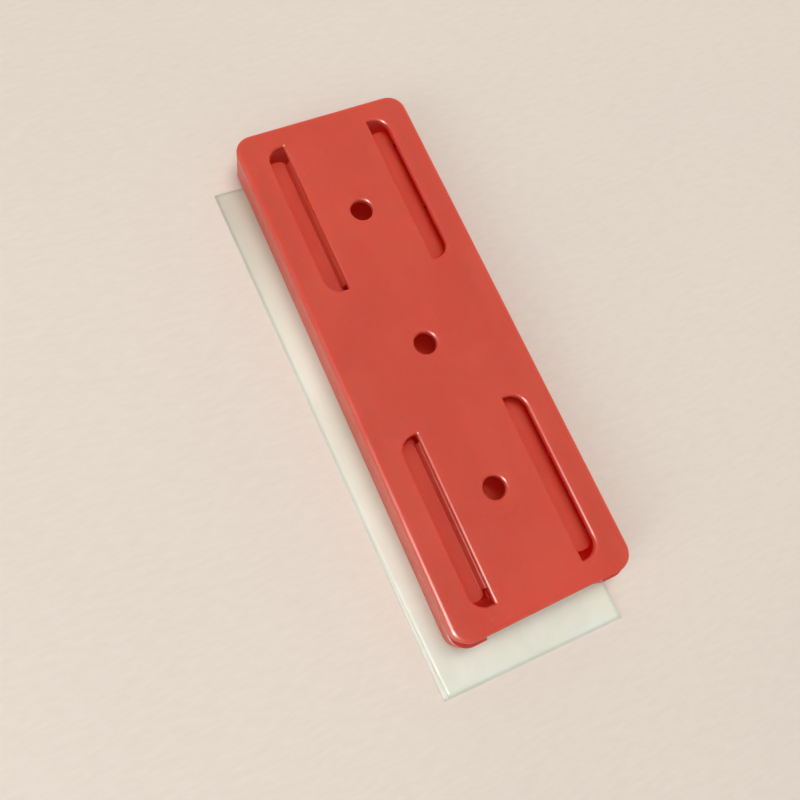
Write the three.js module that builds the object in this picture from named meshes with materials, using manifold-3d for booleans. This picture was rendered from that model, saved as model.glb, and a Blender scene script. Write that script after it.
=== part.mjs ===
// Slide-together adhesive mount: a slotted cover plate whose hooks run under the rails of a base
// plate, with an adhesive film and its release liner underneath. Millimetres, +Z up, Y along the length.
// The origin is the centre of the two plates, on the underside of the liner.
import * as THREE from 'three';
import { mergeVertices, toCreasedNormals } from 'three/addons/utils/BufferGeometryUtils.js';
import Module from 'manifold-3d';

const wasm = await Module();
wasm.setup();

// ---- driving dimensions -------------------------------------------------------------------
const WIDTH = 41;                // both plates, across
const LENGTH = 117;              // cover plate, along
const COVER_H = 4.0;             // cover plate, edge height
const BASE_H = 4.8;              // base plate, edge height
const SKIN = 1.25;               // cover plate's flat top
const FLOOR = 1.6;               // base plate's flat bottom
const SKIRT = 1.8;               // wall round both plates
const CORNER_R = 4;
const TOP_R = 1.0;               // rounding of the cover's top edge
const RIM_R = 0.65;              // rounding of slot and hole rims

const SLOT_SIDE = 6.05;          // plate's side to a slot's outer side
const SLOT_END = 4.9;            // plate's end to a slot's outer end
const SLOT_W = 4.35;
const SLOT_L = 36.5;
const SLOT_R = 3.4;              // outer corners of a slot

const HOLE_D = 4.9;
const HOLE_PITCH = 33.3;

const HOOK_DROP = 1.95;          // skin to the top of a cover hook's foot
const FOOT_T = 2.2;
const FOOT_PAST = 0.3;           // foot runs this far out past the slot's outer side
const FOOT_SHORT = 1.6;          // foot stops this far inside the slot's outer end
const FOOT_UNDER = 1.1;          // foot runs this far past the slot's inner end
const FOOT_R = 1.7;              // corners at a foot's outer end
const WEB_T = 1.5;               // upright part of a cover hook
const WEB_START = 1.6;           // it starts this far past the slot's inner end
const WEB_SLOPE = 0.75;          // its outer side leans out this much on the way down to the foot
const LUG_W = 0.9;
const LUG_DROP = 0.15;           // top of a foot to the top of its lugs
const LUG_BACK = 0.9;            // tip of a lug to the rail's upright
const LUGS_IN = [5.0, 22.15];    // slot's outer end to each lug

const LIP_BACK = 1.0;            // slot's outer side to the edge of the rail's lip
const RAIL_T = 1.3;              // upright part of a rail

const STOP_L = 2.0;              // block that the cover's lower hooks come up against
const LEDGE_OUT = 0.95;          // base plate's lower corners stand out past the cover
const LEDGE_W = 7;               // each of them, as far as the finger notch between
const NOTCH_D = 3.2;
const GATE_W = 2.2;              // moulding gate's stub on the cover's upper end
const GATE_OUT = 0.35;

const LINER_T = 0.2;
const LINER_OVER_W = 0.4;        // liner's size beyond the plates'
const LINER_OVER_L = 2.0;
const LINER_AT = [-5.55, -8.0];  // liner's centre: it was laid on off to one side
const LINER_TURN = 0.9;          // degrees
const LINER_END_TILT = -2.6;     // degrees, its ends aren't cut square
const FILM_T = 0.3;
const FILM_INSET = 0.3;
const FILM_KNEE = 31;            // film's left side turns inwards this far from its lower end
const FILM_TAPER = 0.8;

const FIT = 0.3;                 // running clearance between the two plates
const SEAM = 0.15;               // gap between the two plates' skirts

// ---- dependent dimensions -----------------------------------------------------------------
const HALF_W = WIDTH / 2;
const HALF_L = LENGTH / 2;
const BASE_Z = LINER_T + FILM_T;
const FLOOR_Z = BASE_Z + FLOOR;
const SEAM_Z = BASE_Z + BASE_H;
const TOP_Z = SEAM_Z + SEAM + COVER_H;
const SKIN_Z = TOP_Z - SKIN;
const SLOT_OUT = HALF_W - SLOT_SIDE;              // middle of the plate to a slot's outer side
const SLOT_IN = SLOT_OUT - SLOT_W;
const SLOT_Y1 = HALF_L - SLOT_END;                // middle of the plate to a slot's outer end
const SLOT_Y0 = SLOT_Y1 - SLOT_L;
const FOOT_Z1 = SKIN_Z - HOOK_DROP;               // top of a cover hook's foot
const FOOT_Z0 = FOOT_Z1 - FOOT_T;
const WEB_Y0 = SLOT_Y0 + WEB_START;
const FOOT_Y1 = SLOT_Y1 - FOOT_SHORT;
const FOOT_OUT = SLOT_OUT + FOOT_PAST;
const WEB_Y1 = FOOT_Y1 - FOOT_R;
const LUG_Z1 = FOOT_Z1 - LUG_DROP;
const LIP_IN = SLOT_OUT + LIP_BACK;
const RAIL_OUT = HALF_W - SKIRT - FIT;
const RAIL_IN = RAIL_OUT - RAIL_T;
const RAIL_Y1 = HALF_L - SKIRT - FIT;
const OVER = 1;                                   // how far cutters run past what they cut

// ---- helpers ------------------------------------------------------------------------------
// Outline with a radius per corner, the same number of points whatever its offset.
function outline(x0, x1, y0, y1, radii, offset = 0, steps = 8) {
  const corners = [[x1, y0, -1, 1], [x1, y1, -1, -1], [x0, y1, 1, -1], [x0, y0, 1, 1]];
  const points = [];
  corners.forEach(([x, y, sx, sy], i) => {
    const r = radii[i];
    for (let k = 0; k <= steps; k++) {
      const a = ((i - 1) + k / steps) * Math.PI / 2;
      points.push(new THREE.Vector2(x + sx * r + (r + offset) * Math.cos(a),
        y + sy * r + (r + offset) * Math.sin(a)));
    }
  });
  return points;
}

// Solid through a stack of [points, z] rings, lowest first.
function loft(rings) {
  const n = rings[0][0].length;
  const position = rings.flatMap(([points, z]) => points.flatMap((p) => [p.x, p.y, z]));
  const index = [];
  for (let i = 0; i < rings.length - 1; i++) {
    for (let j = 0; j < n; j++) {
      const a = i * n + j;
      const b = i * n + (j + 1) % n;
      index.push(a, b, b + n, a, b + n, a + n);
    }
  }
  const top = (rings.length - 1) * n;
  for (const [a, b, c] of THREE.ShapeUtils.triangulateShape(rings[0][0], [])) index.push(c, b, a);
  for (const [a, b, c] of THREE.ShapeUtils.triangulateShape(rings.at(-1)[0], [])) {
    index.push(top + a, top + b, top + c);
  }
  const geometry = new THREE.BufferGeometry();
  geometry.setAttribute('position', new THREE.Float32BufferAttribute(position, 3));
  geometry.setIndex(index);
  return geometry;
}

function solid(geometry) {
  const g = geometry.clone();
  g.deleteAttribute('normal');
  g.deleteAttribute('uv');
  const m = mergeVertices(g);
  return new wasm.Manifold(new wasm.Mesh({
    numProp: 3,
    vertProperties: new Float32Array(m.attributes.position.array),
    triVerts: new Uint32Array(m.index.array),
  }));
}

function box(x0, x1, y0, y1, z0, z1) {
  const g = new THREE.BoxGeometry(x1 - x0, y1 - y0, z1 - z0);
  g.translate((x0 + x1) / 2, (y0 + y1) / 2, (z0 + z1) / 2);
  return solid(g);
}

const prism = (points, z0, z1) => solid(loft([[points, z0], [points, z1]]));

function cylinder(diameter, x, y, z0, z1, segments = 32) {
  const g = new THREE.CylinderGeometry(diameter / 2, diameter / 2, z1 - z0, segments);
  g.rotateX(Math.PI / 2);
  g.translate(x, y, (z0 + z1) / 2);
  return solid(g);
}

const union = (parts) => parts.reduce((sum, part) => sum.add(part));

// Cutter from `z0` up through `z1`, whose mouth at `z1` opens out with a rounded rim.
function rimmedCutter(shape, z0, z1) {
  const rings = [[shape(0), z0]];
  for (let k = 0; k <= 5; k++) {
    const a = (k / 5) * Math.PI / 2;
    rings.push([shape(RIM_R * (1 - Math.cos(a))), z1 - RIM_R * (1 - Math.sin(a))]);
  }
  rings.push([shape(RIM_R), z1 + OVER]);
  return solid(loft(rings));
}

function mesh(name, manifold, colour, roughness) {
  const { vertProperties, triVerts } = manifold.getMesh();
  const g = new THREE.BufferGeometry();
  g.setAttribute('position', new THREE.Float32BufferAttribute(vertProperties, 3));
  g.setIndex(new THREE.Uint32BufferAttribute(triVerts, 1));
  const material = new THREE.MeshStandardMaterial({ color: colour, roughness, metalness: 0 });
  const m = new THREE.Mesh(toCreasedNormals(g, 0.6), material);
  m.name = name;
  return m;
}

// Calls `make` for the four hook places: sx is the side, sy the half of the plate.
function atFourSlots(make) {
  return [-1, 1].flatMap((sx) => [-1, 1].map((sy) => make(sx, sy)));
}

// Box given by its distances from the two mid-planes, on side sx and in half sy.
function sideBox(sx, sy, x0, x1, y0, y1, z0, z1) {
  return box(Math.min(sx * x0, sx * x1), Math.max(sx * x0, sx * x1),
    Math.min(sy * y0, sy * y1), Math.max(sy * y0, sy * y1), z0, z1);
}

// ---- cover plate --------------------------------------------------------------------------
// Slot's outline: square corners on its inner side, big round ones on its outer side.
function slotShape(sx, sy) {
  const x0 = sx > 0 ? SLOT_IN : -SLOT_OUT;
  const y0 = sy > 0 ? SLOT_Y0 : -SLOT_Y1;
  const small = 0.15;
  const radii = sx > 0 ? [SLOT_R, SLOT_R, small, small] : [small, small, SLOT_R, SLOT_R];
  return (offset) => outline(x0, x0 + SLOT_W, y0, y0 + SLOT_L, radii, offset);
}

function holeShape(y) {
  const r = HOLE_D / 2;
  return (offset) => outline(-r, r, y - r, y + r, [r, r, r, r], offset);
}

// Roof of the cover: rounded top edge, straight sides down to the seam, lower end left open.
function coverShell() {
  const r = [CORNER_R, CORNER_R, CORNER_R, CORNER_R];
  const plan = (inset) => outline(-HALF_W, HALF_W, -HALF_L, HALF_L, r, -inset, 10);
  const rings = [[plan(0), SEAM_Z + SEAM]];
  for (let k = 0; k <= 6; k++) {
    const a = (k / 6) * Math.PI / 2;
    rings.push([plan(TOP_R * (1 - Math.cos(a))), TOP_Z - TOP_R * (1 - Math.sin(a))]);
  }
  const hollow = box(-HALF_W + SKIRT, HALF_W - SKIRT, -HALF_L - OVER, HALF_L - SKIRT,
    SEAM_Z - OVER, SKIN_Z);
  const gate = box(-GATE_W / 2, GATE_W / 2, HALF_L - OVER, HALF_L + GATE_OUT,
    SEAM_Z + SEAM + COVER_H * 0.3, SEAM_Z + SEAM + COVER_H * 0.65);
  return solid(loft(rings)).subtract(hollow).add(gate);
}

// Hook that hangs from a slot's inner side, turns outwards below the slot, and carries two thin
// lugs that reach under the rail's lip.
function coverHook(sx, sy) {
  const footIn = SLOT_IN + WEB_SLOPE / 2;
  const footX = sx > 0 ? [footIn, FOOT_OUT] : [-FOOT_OUT, -footIn];
  const footY0 = SLOT_Y0 - FOOT_UNDER;
  const footY = sy > 0 ? [footY0, FOOT_Y1] : [-FOOT_Y1, -footY0];
  const small = 0.15;
  const r = sy > 0 ? [small, FOOT_R, FOOT_R, small] : [FOOT_R, small, small, FOOT_R];
  const foot = prism(outline(...footX, ...footY, r), FOOT_Z0, FOOT_Z1);
  const lugs = LUGS_IN.map((d) => {
    const y = SLOT_Y1 - d;
    return sideBox(sx, sy, FOOT_OUT - LUG_W, RAIL_IN - LUG_BACK, y - LUG_W / 2, y + LUG_W / 2,
      FOOT_Z0, LUG_Z1);
  });
  return union([hookWeb(sx, sy), foot, ...lugs]);
}

// Upright of a hook, whose outer side leans out from the slot's inner side down to the foot.
function hookWeb(sx, sy) {
  const y = sy > 0 ? [WEB_Y0, WEB_Y1] : [-WEB_Y1, -WEB_Y0];
  const plan = (out) => {
    const x = sx > 0 ? [SLOT_IN - WEB_T, SLOT_IN + out] : [-SLOT_IN - out, -SLOT_IN + WEB_T];
    return outline(...x, ...y, [0.1, 0.1, 0.1, 0.1], 0, 2);
  };
  return solid(loft([[plan(WEB_SLOPE), FOOT_Z0], [plan(WEB_SLOPE), FOOT_Z1], [plan(0), SKIN_Z],
    [plan(0), SKIN_Z + SKIN / 2]]));
}

function coverPlate() {
  const holes = [-HOLE_PITCH, 0, HOLE_PITCH];
  const body = union([coverShell(), ...atFourSlots(coverHook)]);
  const low = SKIN_Z - OVER;
  const cutters = [
    ...atFourSlots((sx, sy) => rimmedCutter(slotShape(sx, sy), SKIN_Z - FIT, TOP_Z)),
    ...holes.map((y) => rimmedCutter(holeShape(y), low, TOP_Z)),
  ];
  return mesh('slotted_plate', body.subtract(union(cutters)), 0xd25044, 0.42);
}

// ---- base plate ---------------------------------------------------------------------------
// Rail along one side, open at the upper end: an upright with a lip turned inwards.
function rail(sx) {
  const y0 = -HALF_L + SKIRT;
  const lipZ = LUG_Z1 + FIT;
  const x = [Math.min(sx * LIP_IN, sx * RAIL_OUT), Math.max(sx * LIP_IN, sx * RAIL_OUT)];
  const lip = box(...x, y0, RAIL_Y1, lipZ, SKIN_Z - FIT);
  const upright = box(Math.min(sx * RAIL_IN, sx * RAIL_OUT), Math.max(sx * RAIL_IN, sx * RAIL_OUT),
    y0, RAIL_Y1, FLOOR_Z - OVER, lipZ + FIT);
  return lip.add(upright);
}

function baseShell() {
  const r = [CORNER_R, CORNER_R, CORNER_R, CORNER_R];
  const y0 = -HALF_L - LEDGE_OUT;
  const plan = outline(-HALF_W, HALF_W, y0, HALF_L, r, 0, 10);
  const hollow = box(-HALF_W + SKIRT, HALF_W - SKIRT, y0 + SKIRT + LEDGE_OUT, HALF_L + OVER,
    FLOOR_Z, SEAM_Z + OVER);
  const notchX = HALF_W - LEDGE_W;
  const notch = prism(outline(-notchX, notchX, y0 - NOTCH_D, y0 + NOTCH_D,
    [1.5, 1.5, 1.5, 1.5]), BASE_Z - OVER, SEAM_Z + OVER);
  return prism(plan, BASE_Z, SEAM_Z).subtract(hollow.add(notch));
}

function basePlate() {
  const stops = [-1, 1].map((sx) => sideBox(sx, -1, SLOT_IN - WEB_T, SLOT_IN,
    WEB_Y1 + FIT, WEB_Y1 + FIT + STOP_L, FLOOR_Z - OVER, FOOT_Z1));
  const body = union([baseShell(), ...stops, rail(-1), rail(1)]);
  return mesh('rail_plate', body, 0xcb4c41, 0.45);
}

// ---- film and liner -----------------------------------------------------------------------
// Plan of a sheet, set in all round, with the lower part of its left side tapered inwards.
function sheetShape(inset, taper) {
  const turn = THREE.MathUtils.degToRad(LINER_TURN);
  const tilt = Math.tan(THREE.MathUtils.degToRad(LINER_END_TILT));
  const x = (WIDTH + LINER_OVER_W) / 2 - inset;
  const y = (LENGTH + LINER_OVER_L) / 2 - inset;
  const flat = [[-x + taper, -y], [x, -y], [x, y], [-x, y], [-x, -y + FILM_KNEE]];
  return flat.map(([px, py]) => new THREE.Vector2(px, py + px * tilt)
    .rotateAround(new THREE.Vector2(), turn).add(new THREE.Vector2(...LINER_AT)));
}

function sheets() {
  const film = prism(sheetShape(FILM_INSET, FILM_TAPER), LINER_T, BASE_Z);
  const liner = prism(sheetShape(0, 0), 0, LINER_T);
  return [mesh('adhesive_film', film, 0xe6dfcc, 0.5), mesh('release_liner', liner, 0xe4ddcf, 0.6)];
}

const part = new THREE.Group();
part.name = 'slide_mount';
part.add(coverPlate(), basePlate(), ...sheets());

export default part;
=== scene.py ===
import math
from operator import itemgetter

import bmesh
import bpy
from mathutils import Euler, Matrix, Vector, noise


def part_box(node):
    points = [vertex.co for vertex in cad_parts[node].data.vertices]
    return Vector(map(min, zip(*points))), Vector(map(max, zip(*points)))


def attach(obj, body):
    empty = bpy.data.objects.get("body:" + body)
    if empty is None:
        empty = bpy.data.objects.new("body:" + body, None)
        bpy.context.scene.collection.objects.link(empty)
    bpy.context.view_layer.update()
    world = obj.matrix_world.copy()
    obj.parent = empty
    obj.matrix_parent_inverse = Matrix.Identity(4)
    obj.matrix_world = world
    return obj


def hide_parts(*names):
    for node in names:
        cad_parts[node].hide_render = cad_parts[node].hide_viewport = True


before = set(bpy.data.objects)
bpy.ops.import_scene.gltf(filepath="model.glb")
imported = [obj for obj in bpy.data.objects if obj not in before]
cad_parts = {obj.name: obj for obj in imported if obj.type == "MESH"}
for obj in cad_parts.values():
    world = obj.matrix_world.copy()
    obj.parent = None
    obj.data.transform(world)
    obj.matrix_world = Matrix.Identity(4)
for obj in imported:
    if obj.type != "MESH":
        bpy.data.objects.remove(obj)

MM = 0.001
HOLE_PITCH = 33.3 * MM
HOLES_Y = (-HOLE_PITCH, 0.0, HOLE_PITCH)    # the cover's screw holes, on its centre line
HOLE_RING = (2.9 * MM, 4.4 * MM, 6.2 * MM)  # start, crest and end of the faint ring round a hole

RECESS_REACH = 7 * MM           # how far round a point the ambient occlusion looks for walls, for the painted shade in recesses
COVERED_REACH = 25 * MM         # the same, for telling whether the base plate's floor is covered
FLOOR_TOP = (2.4 * MM, 3.0 * MM)            # heights over which the base plate's floor ends
PALE_EDGE_RADIUS = 0.35 * MM
SOFT_EDGE = 0.28 * MM
FLOOR_GLOW = 0.10

SHEET_CELLS = (48, 132)         # mesh cells across and along a sheet
BORDER_REACH = 6 * MM           # a sheet's free border lifts over this width
BORDER_LIFT = 0.12 * MM
BROWNER_SPAN = (5 * MM, 52 * MM)   # the sheets turn browner between these places along y

PAPER_TURN = math.radians(24.3)             # direction of the paper's laid grain
CAMERA_XY = (-0.05302, -0.03941)
CAMERA_RISE = 0.14845           # above the cover's top
CAMERA_TURN = (16.587, -8.568, -24.319)     # degrees
CAMERA_LENS = 34.637
CAMERA_SHIFT_X = 0.025


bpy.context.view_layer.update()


# ---- material building -----------------------------------------------------------------------
def srgb(r, g, b):
    """Linear RGBA of an 8-bit sRGB colour."""
    def lin(c):
        c /= 255
        return c / 12.92 if c <= 0.04045 else ((c + 0.055) / 1.055) ** 2.4
    return (lin(r), lin(g), lin(b), 1.0)


class Nodes:
    """Short calls for building a node tree around one Principled shader."""

    def __init__(self, name):
        self.material = bpy.data.materials.new(name)
        self.material.use_nodes = True
        self.tree = self.material.node_tree
        self.tree.nodes.clear()
        self.out = self.tree.nodes.new("ShaderNodeOutputMaterial")
        self.shader = self.tree.nodes.new("ShaderNodeBsdfPrincipled")
        self.link(self.shader.outputs[0], self.out.inputs[0])
        self.coord = self.tree.nodes.new("ShaderNodeTexCoord").outputs["Object"]

    def link(self, a, b):
        self.tree.links.new(a, b)

    def put(self, value, socket):
        if isinstance(value, bpy.types.NodeSocket):
            self.link(value, socket)
        else:
            socket.default_value = value

    def scaled(self, x, y, z, turn=0.0):
        n = self.tree.nodes.new("ShaderNodeMapping")
        n.inputs["Scale"].default_value = (x, y, z)
        n.inputs["Rotation"].default_value = (0, 0, turn)
        self.link(self.coord, n.inputs["Vector"])
        return n.outputs[0]

    def noise(self, scale, detail=3.0, rough=0.5, vector=None, distortion=0.0):
        n = self.tree.nodes.new("ShaderNodeTexNoise")
        n.inputs["Scale"].default_value = scale
        n.inputs["Detail"].default_value = detail
        n.inputs["Roughness"].default_value = rough
        n.inputs["Distortion"].default_value = distortion
        self.link(vector or self.coord, n.inputs["Vector"])
        return n.outputs["Fac"]

    def remap(self, value, a, b, lo, hi, smooth=False):
        n = self.tree.nodes.new("ShaderNodeMapRange")
        n.interpolation_type = "SMOOTHSTEP" if smooth else "LINEAR"
        self.put(value, n.inputs["Value"])
        for key, v in (("From Min", a), ("From Max", b), ("To Min", lo), ("To Max", hi)):
            n.inputs[key].default_value = v
        return n.outputs["Result"]

    def math(self, op, a, b=0.0):
        n = self.tree.nodes.new("ShaderNodeMath")
        n.operation = op
        self.put(a, n.inputs[0])
        self.put(b, n.inputs[1])
        return n.outputs[0]

    def mix(self, fac, a, b):
        n = self.tree.nodes.new("ShaderNodeMix")
        n.data_type = "RGBA"
        self.put(fac, n.inputs["Factor"])
        self.put(a, n.inputs["A"])
        self.put(b, n.inputs["B"])
        return n.outputs["Result"]

    def bump(self, height, distance, strength=1.0, normal=None):
        n = self.tree.nodes.new("ShaderNodeBump")
        n.inputs["Distance"].default_value = distance
        n.inputs["Strength"].default_value = strength
        self.link(height, n.inputs["Height"])
        if normal:
            self.link(normal, n.inputs["Normal"])
        return n.outputs[0]

    def halo(self, centres, inner, crest, outer):
        """Soft rings round points on the centre line, 0 to 1, highest at radius crest."""
        parts = self.tree.nodes.new("ShaderNodeSeparateXYZ")
        self.link(self.coord, parts.inputs[0])
        x2 = self.math("POWER", self.math("ABSOLUTE", parts.outputs["X"]), 2.0)
        total = None
        for y in centres:
            off = self.math("SUBTRACT", parts.outputs["Y"], y)
            y2 = self.math("POWER", self.math("ABSOLUTE", off), 2.0)
            radius = self.math("SQRT", self.math("ADD", x2, y2))
            ring = self.math("MULTIPLY", self.remap(radius, inner, crest, 0, 1, True),
                             self.remap(radius, crest, outer, 1, 0, True))
            total = ring if total is None else self.math("ADD", total, ring)
        return total

    def bevel(self, radius, samples=6):
        n = self.tree.nodes.new("ShaderNodeBevel")
        n.samples = samples
        n.inputs["Radius"].default_value = radius
        return n.outputs[0]

    def openness(self, distance):
        """1 on open faces, towards 0 deep in slots and holes."""
        n = self.tree.nodes.new("ShaderNodeAmbientOcclusion")
        n.samples = 8
        n.inputs["Distance"].default_value = distance
        return n.outputs["AO"]

    def edge_mask(self, radius, gain):
        """1 along sharp edges, 0 on flats: where the rounded normal leaves the true one."""
        geo = self.tree.nodes.new("ShaderNodeNewGeometry")
        dot = self.tree.nodes.new("ShaderNodeVectorMath")
        dot.operation = "DOT_PRODUCT"
        self.link(self.bevel(radius), dot.inputs[0])
        self.link(geo.outputs["Normal"], dot.inputs[1])
        return self.remap(dot.outputs["Value"], 1.0, 1.0 - gain, 0.0, 1.0)


def plastic(name, face, deep, pale, painted_shade_red, halo_at=(), glow=0.0):
    """Moulded satin plastic: flow mottling, fine grain, faint scuffs and paler sharp edges, and a
    painted shade: a deeper red and a lower specular level where ambient occlusion shuts it in.
    halo_at is where faint raised moulding rings lie; glow stands in for the light that reaches a
    covered floor through the thin plastic above it."""
    m = Nodes(name)
    flow = m.noise(95, 4, 0.55, m.scaled(1.0, 0.55, 1.0), 0.6)
    specks = m.noise(900, 2, 0.6)
    colour = m.mix(m.remap(flow, 0.32, 0.7, 0, 1, True), deep, face)
    colour = m.mix(m.remap(specks, 0.66, 0.8, 0, 0.16), colour, pale)
    # paler colour along sharp edges
    colour = m.mix(m.math("MULTIPLY", m.edge_mask(PALE_EDGE_RADIUS, 0.3), 0.4), colour, pale)
    # painted shade: a deep saturated red and less specular reflection where occlusion shuts the
    # surface in
    opened = m.remap(m.openness(RECESS_REACH), 0.08, 0.5, 0, 1, True)
    m.put(m.mix(opened, painted_shade_red, colour), m.shader.inputs["Base Color"])
    m.put(m.remap(opened, 0.6, 1, 0.0, 0.42), m.shader.inputs["Specular IOR Level"])
    if glow:
        parts = m.tree.nodes.new("ShaderNodeSeparateXYZ")
        m.link(m.coord, parts.inputs[0])
        floor = m.remap(parts.outputs["Z"], *FLOOR_TOP, 1, 0)
        covered = m.remap(m.openness(COVERED_REACH), 0.1, 0.5, 1, 0)
        m.shader.inputs["Emission Color"].default_value = srgb(250, 22, 8)
        m.put(m.math("MULTIPLY", m.math("MULTIPLY", floor, covered), glow),
              m.shader.inputs["Emission Strength"])

    rough = m.math("ADD", m.remap(m.noise(260, 4, 0.6), 0.3, 0.75, 0.30, 0.44),
                   m.remap(m.noise(3200, 2, 0.5), 0.35, 0.7, -0.03, 0.05))
    scuff = m.noise(240, 3, 0.7, m.scaled(9.0, 0.7, 3.0, 0.35))
    scuff = m.remap(scuff, 0.66, 0.74, 0, 1)
    m.put(m.math("ADD", rough, m.math("MULTIPLY", scuff, 0.09)), m.shader.inputs["Roughness"])

    normal = m.bevel(SOFT_EDGE, 8)
    normal = m.bump(m.noise(55, 2, 0.5), 0.10 * MM, 0.5, normal)
    if halo_at:
        normal = m.bump(m.halo(halo_at, *HOLE_RING), 0.12 * MM, 0.5, normal)
    normal = m.bump(m.noise(2400, 3, 0.6), 0.012 * MM, 0.45, normal)
    normal = m.bump(scuff, 0.006 * MM, 0.5, normal)
    m.put(normal, m.shader.inputs["Normal"])
    m.shader.inputs["IOR"].default_value = 1.48
    m.shader.inputs["Subsurface Weight"].default_value = 0.75
    m.shader.inputs["Subsurface Radius"].default_value = (1.0, 0.1, 0.05)
    m.shader.inputs["Subsurface Scale"].default_value = 3.5 * MM
    return m.material


def sheet_material(name, light, dark, warm, roughness, gloss):
    """Thin cream sheet: cloudy mottling, long soft creases, fine fibre grain, and a browner tone
    towards its upper end."""
    m = Nodes(name)
    cloud = m.noise(60, 4, 0.6, None, 0.8)
    colour = m.mix(m.remap(cloud, 0.3, 0.72, 0, 1, True), dark, light)
    creases = m.noise(30, 3, 0.55, m.scaled(3.2, 0.5, 1.0, 0.03))
    colour = m.mix(m.remap(creases, 0.42, 0.68, 0, 0.55, True), colour, warm)
    rise = m.tree.nodes.new("ShaderNodeSeparateXYZ")
    m.link(m.coord, rise.inputs[0])
    # darker and browner towards the upper end along y
    browner_up = m.remap(m.math("ADD", rise.outputs["Y"], m.remap(cloud, 0, 1, -8 * MM, 8 * MM)),
                   *BROWNER_SPAN, 0, 1, True)
    colour = m.mix(m.math("MULTIPLY", browner_up, 0.9), colour, srgb(204, 198, 182))
    fibre = m.noise(1500, 3, 0.65, m.scaled(1.0, 0.45, 1.0))
    colour = m.mix(m.remap(fibre, 0.5, 0.8, 0, 0.12), colour, dark)
    m.put(colour, m.shader.inputs["Base Color"])
    m.put(m.remap(m.noise(420, 3, 0.6), 0.3, 0.7, roughness - 0.08, roughness + 0.1),
          m.shader.inputs["Roughness"])
    normal = m.bump(creases, 0.5 * MM, 0.35)
    normal = m.bump(fibre, 0.010 * MM, 0.5, normal)
    m.put(normal, m.shader.inputs["Normal"])
    m.shader.inputs["Specular IOR Level"].default_value = 0.12
    m.shader.inputs["Coat Weight"].default_value = gloss
    m.shader.inputs["Coat Roughness"].default_value = 0.35
    m.shader.inputs["Subsurface Weight"].default_value = 0.2
    m.shader.inputs["Subsurface Radius"].default_value = (1.0, 0.9, 0.7)
    m.shader.inputs["Subsurface Scale"].default_value = 0.6 * MM
    return m.material


def floor_material():
    """Pale beige paper with a fine laid grain."""
    m = Nodes("studio_paper")
    laid = m.noise(900, 4, 0.6, m.scaled(0.28, 1.0, 1.0, PAPER_TURN))
    wide = m.noise(9, 2, 0.5)
    colour = m.mix(m.remap(wide, 0.3, 0.7, 0, 1), srgb(226, 215, 204), srgb(230, 219, 207))
    colour = m.mix(m.remap(laid, 0.3, 0.7, 0.16, 0), colour, srgb(196, 182, 168))
    m.put(colour, m.shader.inputs["Base Color"])
    m.put(m.bump(laid, 0.16 * MM, 0.6), m.shader.inputs["Normal"])
    m.shader.inputs["Roughness"].default_value = 0.85
    return m.material


def paint(obj, material):
    obj.data.materials.clear()
    obj.data.materials.append(material)


# ---- film and liner ----------------------------------------------------------------------------
COVER_LOW, COVER_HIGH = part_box("slotted_plate")


def side_lines(node):
    """The left and right sides of a thin CAD sheet in plan, each a list of points going up in y."""
    points = {(round(v.co.x, 6), round(v.co.y, 6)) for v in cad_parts[node].data.vertices}
    middle = sum(x for x, _ in points) / len(points)
    by_y = itemgetter(1)
    return (sorted((p for p in points if p[0] < middle), key=by_y),
            sorted((p for p in points if p[0] >= middle), key=by_y))


def along(line, v):
    """The point at share v of a side's rise."""
    y = line[0][1] + v * (line[-1][1] - line[0][1])
    for (x0, y0), (x1, y1) in zip(line, line[1:]):
        if y <= y1 + 1e-9:
            return Vector((x0 + (x1 - x0) * (y - y0) / (y1 - y0), y))
    return Vector(line[-1])


def lift(x, y):
    """How far the free border of the sheets stands off the table at a plan point, in metres."""
    outside = max(COVER_LOW.x - x, COVER_LOW.y - y, 0.0)
    reach = min(outside / BORDER_REACH, 1.0)
    wave = 0.5 + 0.5 * noise.noise(Vector((x * 60, y * 38, 3.1)))
    return reach * reach * wave * BORDER_LIFT


def sheet_piece(name, node, body, material):
    """A thin closed sheet over a CAD sheet's outline, its free border very slightly wavy."""
    low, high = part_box(node)
    left, right = side_lines(node)
    nx, ny = SHEET_CELLS
    bm = bmesh.new()

    def layer(z):
        rows = []
        for j in range(ny + 1):
            a, b = along(left, j / ny), along(right, j / ny)
            plan = [a.lerp(b, i / nx) for i in range(nx + 1)]
            rows.append([bm.verts.new((p.x, p.y, z + lift(p.x, p.y))) for p in plan])
        return rows

    def wall(lower, upper):
        for i in range(len(lower) - 1):
            bm.faces.new((lower[i], lower[i + 1], upper[i + 1], upper[i]))

    bottom, top = layer(low.z), layer(high.z)
    for rows in (bottom, top):
        for j in range(ny):
            wall(rows[j], rows[j + 1])
    wall(bottom[0], top[0])
    wall(bottom[ny], top[ny])
    wall([row[0] for row in bottom], [row[0] for row in top])
    wall([row[nx] for row in bottom], [row[nx] for row in top])
    bmesh.ops.recalc_face_normals(bm, faces=bm.faces)
    mesh = bpy.data.meshes.new(name)
    bm.to_mesh(mesh)
    bm.free()
    for poly in mesh.polygons:
        poly.use_smooth = abs(poly.normal.z) > 0.5
    obj = bpy.data.objects.new(name, mesh)
    bpy.context.scene.collection.objects.link(obj)
    paint(obj, material)
    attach(obj, body)
    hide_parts(node)
    return obj


# ---- studio --------------------------------------------------------------------------------------
def make_floor():
    bm = bmesh.new()
    bmesh.ops.create_grid(bm, x_segments=8, y_segments=8, size=1.6)
    mesh = bpy.data.meshes.new("studio_floor")
    bm.to_mesh(mesh)
    bm.free()
    floor = bpy.data.objects.new("studio_floor", mesh)
    floor.location.z = -0.05 * MM
    bpy.context.scene.collection.objects.link(floor)
    paint(floor, floor_material())


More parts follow.
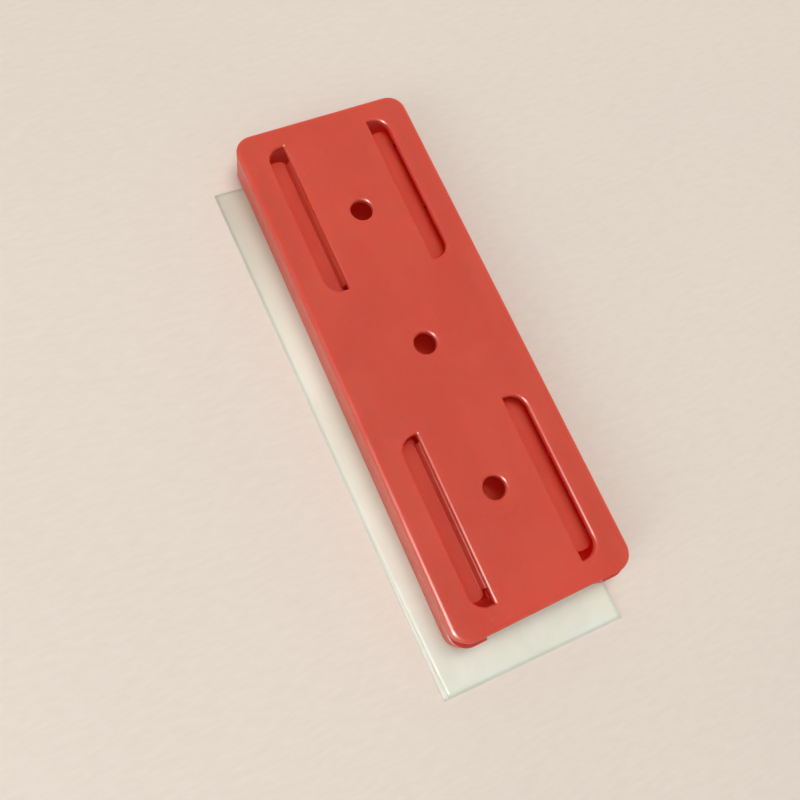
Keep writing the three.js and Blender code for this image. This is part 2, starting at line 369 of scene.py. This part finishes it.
def area_light(name, location, size, watts, colour, glossy=True, diffuse=True):
    data = bpy.data.lights.new(name, "AREA")
    data.shape = "RECTANGLE"
    data.size, data.size_y = size
    data.energy = watts
    data.color = colour
    light = bpy.data.objects.new(name, data)
    light.location = location
    light.rotation_euler = (-Vector(location)).to_track_quat("-Z", "Y").to_euler()
    light.visible_glossy = glossy
    light.visible_diffuse = diffuse
    bpy.context.scene.collection.objects.link(light)


def make_lights():
    world = bpy.data.worlds.new("studio_world")
    world.use_nodes = True
    background = world.node_tree.nodes["Background"]
    background.inputs[0].default_value = (1.0, 0.985, 0.97, 1.0)
    background.inputs[1].default_value = 0.46
    bpy.context.scene.world = world
    area_light("overhead_soft", (0.13, 0.10, 0.72), (0.36, 0.36), 2.65, (1.0, 0.99, 0.975),
               glossy=False)
    area_light("fill_left", (-0.60, -0.10, 0.30), (0.30, 0.30), 0.65, (1.0, 0.98, 0.95), glossy=False)
    area_light("rim_left", (-0.56, -0.24, 0.34), (0.12, 0.50), 26.0, (1.0, 0.93, 0.86), diffuse=False)


def make_camera():
    data = bpy.data.cameras.new("photo_camera")
    data.sensor_width = 36
    data.lens = CAMERA_LENS
    data.shift_x = CAMERA_SHIFT_X
    data.clip_start = 0.01
    camera = bpy.data.objects.new("photo_camera", data)
    camera.location = (*CAMERA_XY, COVER_HIGH.z + CAMERA_RISE)
    camera.rotation_euler = Euler([math.radians(a) for a in CAMERA_TURN])
    bpy.context.scene.collection.objects.link(camera)
    bpy.context.scene.camera = camera


# ---- the object -----------------------------------------------------------------------------------
def dress():
    # each plastic's fourth colour is the painted shade: the saturated red mixed into its recesses
    cover = plastic("cover_plastic", srgb(214, 83, 64), srgb(208, 77, 59), srgb(240, 140, 118),
                    srgb(250, 34, 18), HOLES_Y)
    base = plastic("base_plastic", srgb(212, 82, 63), srgb(205, 74, 57), srgb(240, 140, 118),
                   srgb(250, 32, 16), glow=FLOOR_GLOW)
    paint(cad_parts["slotted_plate"], cover)
    paint(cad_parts["rail_plate"], base)
    film = sheet_material("film_cream", srgb(238, 244, 230), srgb(229, 233, 216),
                          srgb(240, 241, 224), 0.42, 0.04)
    liner = sheet_material("liner_cream", srgb(238, 241, 228), srgb(228, 228, 214),
                           srgb(240, 240, 224), 0.5, 0.02)
    sheet_piece("adhesive_film_sheet", "adhesive_film", "base", film)
    sheet_piece("release_liner_sheet", "release_liner", "liner", liner)


bpy.context.scene.view_settings.view_transform = "Standard"
dress()
make_floor()
make_lights()
make_camera()
